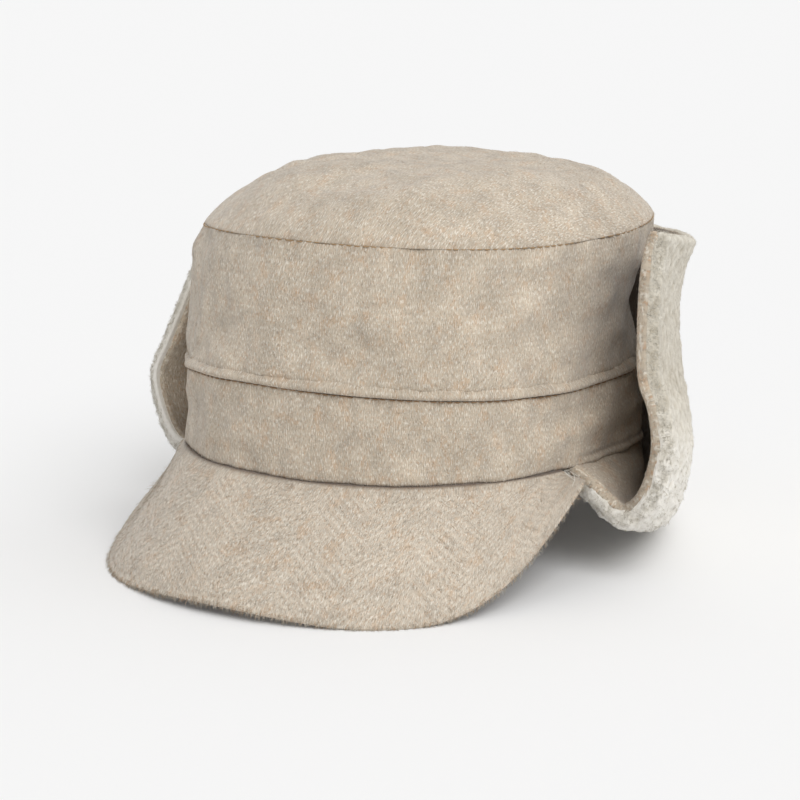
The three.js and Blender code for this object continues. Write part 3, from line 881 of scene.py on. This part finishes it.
def makePeak():
    across = np.linspace(-1, 1, peak["steps"])[:, None]
    reach = np.linspace(0, 1, peak["rows"])[None]
    inside = np.clip(across, -0.995, 0.995)
    normal = gridNormal(peakSurface, inside, np.clip(reach, 0.09, 0.985), 0.004, 0.012)
    normal = np.where(normal[..., 2:] < 0, -normal, normal)
    flat = np.clip((0.12 - reach) / 0.04, 0, 1)[..., None]
    normal = unit(normal * (1 - flat) + np.array([0, 0, 1]) * flat)
    middle = peakSurface(across, reach)
    outwardRun = np.clip((reach - peak["edgeFrom"]) / (1 - peak["edgeFrom"]), 0, 1) ** 2
    half = peak["thickness"] / 2 * (1 - outwardRun) + peak["edgeHalf"] * outwardRun
    half = half[..., None] * np.clip((1.004 - np.abs(across)) / 0.02, 0.35, 1)[..., None]
    # The board ends just inside the edge, so the cloth dips a little there; elsewhere it lies in soft waves
    fromEdge = (1 - reach) * peak["span"]
    waves = peak["softDepth"] * softField(6, peak["softSize"])(across * 120, reach * peak["span"])
    dip = peak["edgeDip"] * bell(fromEdge - peak["dipPlace"], peak["dipWidth"])
    upper = middle + normal * (half + ((waves - dip) * np.clip((reach - 0.1) / 0.1, 0, 1))[..., None])
    upper[..., 2] += peak["seamLift"] * np.clip((0.14 - reach) / 0.06, 0, 1)
    lower = middle - normal * half
    own = np.concatenate([upper, roundRim(middle, normal[:, -1] * half[:, -1], half[:, -1], peak["rimSteps"]),
                          lower[:, ::-1]], 1)
    rows = own.shape[1]
    points = placed(own).reshape(-1, 3)
    fromSeam = np.concatenate([reach[0], np.full(peak["rimSteps"], 1.0), reach[0, ::-1]])[None] * peak["span"]
    marks = clothPlace(across * (peak["rootSpan"] + peak["spread"] * fromSeam), fromSeam)
    # Painted shade: dark just past the seam at the band, and over the whole underside and the lower half of
    # the rim, for the shade beneath the peak
    pastSeam = (fromSeam - peak["rootPart"] * peak["span"]) / peak["seamShade"]
    shade = np.clip(1.1 * np.exp(-pastSeam), 0, 1) + 0 * across
    shade[:, peak["rows"]:] = peak["underShade"]
    overRim = np.clip(np.linspace(-0.6, 1.4, peak["rimSteps"]), 0, 1)
    shade[:, peak["rows"]:peak["rows"] + peak["rimSteps"]] *= overRim
    grid = gridFaces(peak["steps"], rows, False, True)
    strip = np.arange(rows // 2)
    faces = closeEnds(points, grid, peak["steps"], rows, strip, rows - 1 - strip)
    piece = makePiece("peakBoard", points, faces, peakWool,
                      {"clothPlace": marks, "paintedShade": shade.ravel()})
    dress(piece, "peak_wool", "peak")
    column = np.arange(len(grid)) % rows
    shown = (column > 4) & (column < peak["rows"] + peak["rimSteps"])
    # The nap leans with the slanting lines of the herringbone, and hangs over the edge in longer hairs
    down = unit(points[grid[shown, 3]] - points[grid[shown, 0]])
    aside = unit(points[grid[shown, 1]] - points[grid[shown, 0]])
    turned = np.sign(np.sin(marks[grid[shown, 0], 0] * math.pi / peakLook["twillColumn"]))
    ground = faces[:len(grid)][shown]
    slanted = down - aside * 0.8 * turned[:, None]
    scatterHairs("peakNap", [(points, ground, slanted, np.ones(len(ground)))], peakNap, napHair, "peak_wool")
    rim = (column[shown] > peak["rows"] - 3) & (column[shown] < peak["rows"] + peak["rimSteps"] - 2)
    edge = [(points, ground[rim], down[rim], np.ones(rim.sum()))]
    scatterHairs("peakEdgeHairs", edge, peakFringe, napHair, "peak_wool")


makePeak()

# The flap: cloth toward the crown, fleece outside, folded up on itself from one end of the peak to the other.
# The rows of its table run from the seam at the band down to the fold and up to the rim. Each has how far the
# flap stands off and its height, at the back, at the +X front edge and at the other one, and how soon the
# sides part from the back. place counts along the rows.
flap = {
    "startAngle": 82.3,
    "cornerCut": 0.1,
    "cornerCutLeft": 0.9,
    "cornerFrom": 6,
    "cornerSpan": 0.08,
    "rimSteps": 8,
    "rimRound": 0.7,
    "edgeScale": 1.9,                   # millimetres for each degree round the head at the front edges
    "placeScale": 14,                   # about a row's width in millimetres
}
flapColumns = ("backOut", "backUp", "rightOut", "rightUp", "leftOut", "leftUp", "closing")
flapRows = dict(zip(flapColumns, np.array([
    (-2.9, -0.5, -2.9, -0.5, -2.9, -0.5, 3),
    (-2.9, -12, 9.5, -5.6, 9.5, -5, 3.4),
    (-2.2, -24, 17.5, -10.4, 17.5, -11.8, 4.2),
    (2.8, -31.6, 24.8, -12.8, 25, -15, 4.6),
    (8.2, -24, 33, -5, 32.5, -6, 4.8),
    (9.2, -8, 38, 12, 38, 13, 3.9),
    (9, 10, 36, 28, 31.5, 29, 4),
    (7.6, 30, 30, 42, 25.4, 43, 4.8),
    (5.2, 56, 27, 70, 15, 68, 6.6),
    (5.4, 72, 27.6, 86, 9.4, 83, 6),
    (7.4, 84, 31, 96, 7.2, 93, 4.2),
]).T))
flapTop = len(flapRows["backOut"]) - 1


def flapSurface(around, place):
    around, place = np.broadcast_arrays(np.asarray(around, float), np.asarray(place, float))
    right = around < 180
    fromBack = np.abs(180 - around) / (180 - flap["startAngle"])
    column = {name: alongRows(flapRows[name], place) for name in flapColumns}
    flare = fromBack ** column["closing"]
    sideOut = np.where(right, column["rightOut"], column["leftOut"])
    sideUp = np.where(right, column["rightUp"], column["leftUp"])
    out = column["backOut"] + (sideOut - column["backOut"]) * flare
    up = column["backUp"] + (sideUp - column["backUp"]) * flare
    point = ovalPoint(around, np.maximum(up, 0), out)
    point[..., 2] = up + ovalPoint(around, 0, 0)[..., 2]
    return point


# Random tufts: rounded, from 1 at the middle of a tuft down to 0 in the creases between them
def tufts(points, size, seed, cells=31):
    draw = randomDraw(seed)
    lattice = draw.random((cells, cells, cells, 3))
    scaled = points / size
    base = np.floor(scaled).astype(int)
    nearest = np.full(len(points), 9.0)
    for shift in np.ndindex(3, 3, 3):
        cell = base + np.array(shift) - 1
        center = cell + lattice[tuple(cell.T % cells)]
        nearest = np.minimum(nearest, ((scaled - center) ** 2).sum(1))
    return 1 - np.clip(nearest / 0.6, 0, 1)


# One layer of the flap: a grid of points over its outer face, round its rim and back over its hidden face,
# which is coarser. over is how far it reaches past the front edges, and edgeRound how soon it is at full
# depth. The names with Left are for the front edge on the -X side.
def flapLayer(layer):
    steps, rows, near, far = layer["steps"], layer["rows"], layer["near"], layer["far"]
    part = np.linspace(0, 1, steps)
    eased = part + 0.7 * ((1 - np.cos(math.pi * part)) / 2 - part)
    start = flap["startAngle"] - layer["over"] / flap["edgeScale"]
    stop = 360 - flap["startAngle"] + layer["overLeft"] / flap["edgeScale"]
    around = (start + (stop - start) * eased)[:, None]
    left = np.clip((around - 180) / 60, 0, 1)[..., None]
    near = near + (layer["nearLeft"] - near) * left
    far = far + (layer["farLeft"] - far) * left
    corner = np.maximum(0, np.abs(2 * eased - 1) - 1 + flap["cornerSpan"])[:, None] / flap["cornerSpan"]
    cornerCut = np.where(around > 180, flap["cornerCutLeft"], flap["cornerCut"])
    topPlace = layer["rimPlace"] - cornerCut * corner ** 2
    raw = np.linspace(0, flapTop, rows)[None]
    stretch = (topPlace - flap["cornerFrom"]) / (flapTop - flap["cornerFrom"])
    place = np.where(raw > flap["cornerFrom"], flap["cornerFrom"] + (raw - flap["cornerFrom"]) * stretch, raw)
    normal = gridNormal(flapSurface, around, np.clip(place, 0.02, flapTop - 0.02), 0.5, 0.02)
    level = np.clip(1 - raw / 0.15, 0, 1)[..., None]
    normal = unit(normal * (1 - level) + normal * np.array([1, 1, 0]) * level)
    middle = flapSurface(around, place)
    run = np.concatenate([np.zeros((1, rows)), np.linalg.norm(np.diff(middle, axis=0), axis=2).cumsum(0)])
    fromEnd = np.minimum(run, run[-1:] - run)
    edgeRound = np.where(around > 180, layer["edgeRoundLeft"], layer["edgeRound"])
    rounding = np.sqrt(1 - (1 - np.clip((fromEnd + 0.08) / edgeRound, 0, 1)) ** 2)
    inner = middle + normal * near
    outer = middle + normal * (near + (far - near) * rounding[..., None])
    toOuter = (outer[:, -1] - inner[:, -1]) / 2
    half = np.linalg.norm(toOuter, axis=-1, keepdims=True) * flap["rimRound"]
    rim = roundRim(middle, toOuter, half, flap["rimSteps"], (inner[:, -1] + outer[:, -1]) / 2)
    hidden = np.linspace(rows - 1, 0, layer["hiddenRows"]).round().astype(int)
    own = np.concatenate([outer, rim, inner[:, hidden]], 1)
    order = np.concatenate([np.arange(rows), np.full(flap["rimSteps"], rows - 1), hidden])
    points = placed(own).reshape(-1, 3)
    total = own.shape[1]
    grid = gridFaces(steps, total, False, True)
    outerStrip = np.arange(rows + flap["rimSteps"] // 2)
    across = np.linspace(0, total - 2 - outerStrip[-1], len(outerStrip))
    faces = closeEnds(points, grid, steps, total, outerStrip, total - 1 - across.round().astype(int))
    return {"points": points, "grid": grid, "faces": faces, "around": around, "place": place[:, order],
            "fromEnd": fromEnd[:, order], "total": total}


# The flap's wool, toward the crown: where its two faces lie, its mesh, its edges, and the painted shade at
# its seam, in its fold and high up on its face toward the crown
flapWool = {
    "near": 1.6, "far": -2.3, "nearLeft": 1.6, "farLeft": -2.3, "rimPlace": flapTop - 0.05,
    "steps": 260, "rows": 96, "hiddenRows": 40,
    "over": 0.8, "overLeft": 0.6, "edgeRound": 2.4, "edgeRoundLeft": 2.4,
    "behindFrom": 6.5, "behindFromLeft": 4.6, "behindLeft": 0.4, "foldPlace": 3.4, "foldShade": 0.6,
    "edgeFuzz": 6.0,
}
# The fleece: puffs of pile, big round the fold and low toward the rim, with finer curls, in millimetres
fleece = {
    "near": 0.5, "far": 6.4, "nearLeft": -1.0, "farLeft": 5.0, "rimPlace": flapTop,
    "steps": 400, "rows": 160, "hiddenRows": 40,
    "over": 0.7, "overLeft": 1.5, "edgeRound": 2.6, "edgeRoundLeft": 1.4,
    "foldPlace": 2.8, "fullFold": 0.8, "puffSize": 5.0, "puffFold": 1.7, "puffRim": 0.25,
    "curlSize": 2.6, "curlFold": 0.9, "curlRim": 0.3, "lumpSize": 7.0, "lumpDepth": 0.2,
}
foldHair = {"count": 6000, "length": 1.3, "lift": 0.5, "curl": 0.6, "radius": 0.09,
            "scatter": 1.4, "seed": 22}
borderHair = {"count": 3500, "length": 1.7, "lift": 0.5, "curl": 0.5, "radius": 0.08,
              "scatter": 0.7, "seed": 26}
shortHair = {"count": 22000, "length": 1.5, "lift": 0.4, "curl": 0.0, "radius": 0.06,
             "scatter": 1.2, "seed": 24}


def makeFlapCloth():
    layer = flapLayer(flapWool)
    points, faces, grid, total = layer["points"], layer["faces"], layer["grid"], layer["total"]
    place, fromEnd, left = layer["place"], layer["fromEnd"], layer["around"] > 180
    # Painted shade: dark at the seam with the band, in the hollow of the fold, and high up on the face toward
    # the crown where it stands in the dark gap beside the crown; weaker on the -X side
    behindFrom = np.where(left, flapWool["behindFromLeft"], flapWool["behindFrom"])
    behind = np.clip((fromEnd - 2) / 6, 0, 1) * np.clip((place - behindFrom) / 1.5, 0, 1)
    behind = behind * np.where(left, flapWool["behindLeft"], 1.0)
    inFold = bell(place - flapWool["foldPlace"], 1.2) * np.clip((fromEnd + 1) / 4, 0, 1)
    shade = np.clip(0.8 * np.exp(-place / 0.06) + flapWool["foldShade"] * inFold + behind, 0, 1)
    marks = clothPlace(layer["around"] * arcScale, place * flap["placeScale"])
    marks = {"clothPlace": marks, "paintedShade": shade.ravel()}
    piece = makePiece("flapCloth", points, faces, crownWool, marks)
    dress(piece, "flap_wool", "flap_shell")
    step, column = np.divmod(np.arange(len(grid)), total)
    shown = column < flapWool["rows"] + flap["rimSteps"]
    nearEdge = (np.minimum(step, flapWool["steps"] - 2 - step) < 4) | (column > flapWool["rows"] - 4)
    fuzz = 1 + flapWool["edgeFuzz"] * nearEdge[shown]
    napGround.append(brushed(points, grid, faces[:len(grid)], shown, fuzz))
    return piece


def makeFleece():
    layer = flapLayer(fleece)
    points, faces, total = layer["points"], layer["faces"], layer["total"]
    normals = pointNormals(points, faces)
    outerCount = fleece["rows"] + flap["rimSteps"]
    shown = np.zeros(total)
    shown[:outerCount] = 1
    shown[outerCount - 3:outerCount] = (0.8, 0.5, 0.2)
    shown = np.tile(shown, fleece["steps"])
    place, fromEnd = layer["place"].ravel(), layer["fromEnd"].ravel()
    atFold = bell(np.maximum(np.abs(place - fleece["foldPlace"]) - 1.2, 0), 1.5)
    warp = 0.9 * np.sin(points[:, [1, 2, 0]] / (1.7, 1.9, 1.6))
    puff = tufts(points + warp, fleece["puffSize"], 7) - 0.5
    curl = tufts(points + warp, fleece["curlSize"], 8) - 0.5
    lump = softField(9, fleece["lumpSize"])(points[:, 2] * 1.1 + points[:, 0] * 0.4, points[:, 1])
    push = (puff * (fleece["puffRim"] + (fleece["puffFold"] - fleece["puffRim"]) * atFold)
            + curl * (fleece["curlRim"] + (fleece["curlFold"] - fleece["curlRim"]) * atFold)
            + lump * fleece["lumpDepth"] + atFold * fleece["fullFold"])
    nearEnd = np.clip(fromEnd / 2.0, 0, 1)
    onLeft = np.repeat(layer["around"], total) > 180
    calm = 1 - 0.6 * np.exp(-fromEnd / 8) * onLeft
    push = np.where(push < 0, push * nearEnd, push * (0.5 + 0.5 * nearEnd)) * calm * shown
    points = points + normals * push[:, None]
    points[:, 2] = np.maximum(points[:, 2], 0)
    # The pile's colour mark: painted shade down between puffs and curls, painted highlight round the fold and
    # along the -X front edge, and a little darker across the middle band
    middleBand = bell(place - 6.8, 1.3)
    leftEdge = np.exp(-fromEnd / 9) * onLeft
    depth = (0.54 + 0.62 * atFold - 0.16 * middleBand + 0.5 * leftEdge
             + puff * (0.16 + 0.4 * atFold) + curl * (0.26 + 0.1 * atFold))
    depth = np.clip(depth, 0, 1.2)
    piece = makePiece("flapFleece", points, faces, fleecePile, {"pileLightAndShade": depth})
    dress(piece, "flap_fleece", "flap_fleece")
    pile = [piece]
    grid = layer["grid"]
    faces = faces[:len(grid)]
    shown = np.arange(len(grid)) % total < outerCount - 1
    fold = atFold[faces[shown, 0]]
    curly = brushed(points, grid, faces, shown, fold ** 2 + 0.01)
    pile.append(scatterHairs("foldHairs", [curly], foldHair, pileHair, "flap_fleece"))
    # Hairs of the pile lie over the border, so that it runs softly into the wool
    border = shown & (fromEnd[grid[:, 0]] < 1.6)
    soft = (points, faces[border], -normals[grid[border, 0]], np.ones(border.sum()))
    pile.append(scatterHairs("borderHairs", [soft], borderHair, pileHair, "flap_fleece"))
    short = brushed(points, grid, faces, shown, 1.2 - fold)
    pile.append(scatterHairs("pileHairs", [short], shortHair, pileHair, "flap_fleece"))
    return pile


flapCloth = makeFlapCloth()
makeFleece()

# The nap over the crown and the flap's wool
crownHair = {"count": 38000, "length": 2.2, "lift": 0.2, "curl": 0.0, "radius": 0.075,
             "scatter": 0.6, "seed": 23}
scatterHairs("crownNap", napGround, crownHair, napHair, "crown_wool")

# Stitches: their spacing and length, and how deep they lie in their seam, in millimetres
stitches = {"pitch": 3.6, "length": 2.7, "radius": 0.24, "arcRound": 606.0, "sag": 0.35}


def makeStitches(name, height, out, radius, material, seed):
    draw = randomDraw(seed)
    count = int(stitches["arcRound"] / stitches["pitch"])
    step = 360 / count
    angle = np.arange(count) * step - 180 + draw.normal(0, 0.08, count)
    part = np.linspace(-0.5, 0.5, 5)[None]
    turn = angle[:, None] + part * step * stitches["length"] / stitches["pitch"]
    sag = -(2 * part) ** 4 * stitches["sag"] + draw.normal(0, 0.05, (count, 1))
    soft = wall["softDepth"] * softWall(turn * arcScale, height * 1.4) - dentAt(turn, height)
    paths = placed(ovalPoint(turn, height + draw.normal(0, 0.06, (count, 1)), out + sag + soft))
    makeThreads(name, paths, radius, material, "crown_wool")


makeStitches("topStitches", seamHeight, -0.22, stitches["radius"], seamThread, 31)
makeStitches("weltStitches", bandTop - 0.35, 0.0, stitches["radius"] + 0.04, ditchThread, 32)


# A few loose thread ends where the peak's corner meets the flap on the +X side
def makeLooseThreads():
    draw = randomDraw(41)
    start = ovalPoint(peak["endAngle"], 0, 1.0)
    paths = []
    for _ in range(5):
        heading = np.array([0.5, -0.75, -0.35]) + draw.normal(0, 0.35, 3)
        long = draw.uniform(4, 7)
        bend = draw.normal(0, 1.0, 3)
        part = np.linspace(0, 1, 9)[:, None]
        wave = np.sin(part * math.pi * draw.uniform(0.8, 1.6)) * bend
        paths.append(start + draw.normal(0, 0.5, 3) + part * heading * long + wave)
    makeThreads("looseThreads", placed(np.array(paths)), 0.11, looseThread, "peak_wool")


makeLooseThreads()
print("all pieces made")
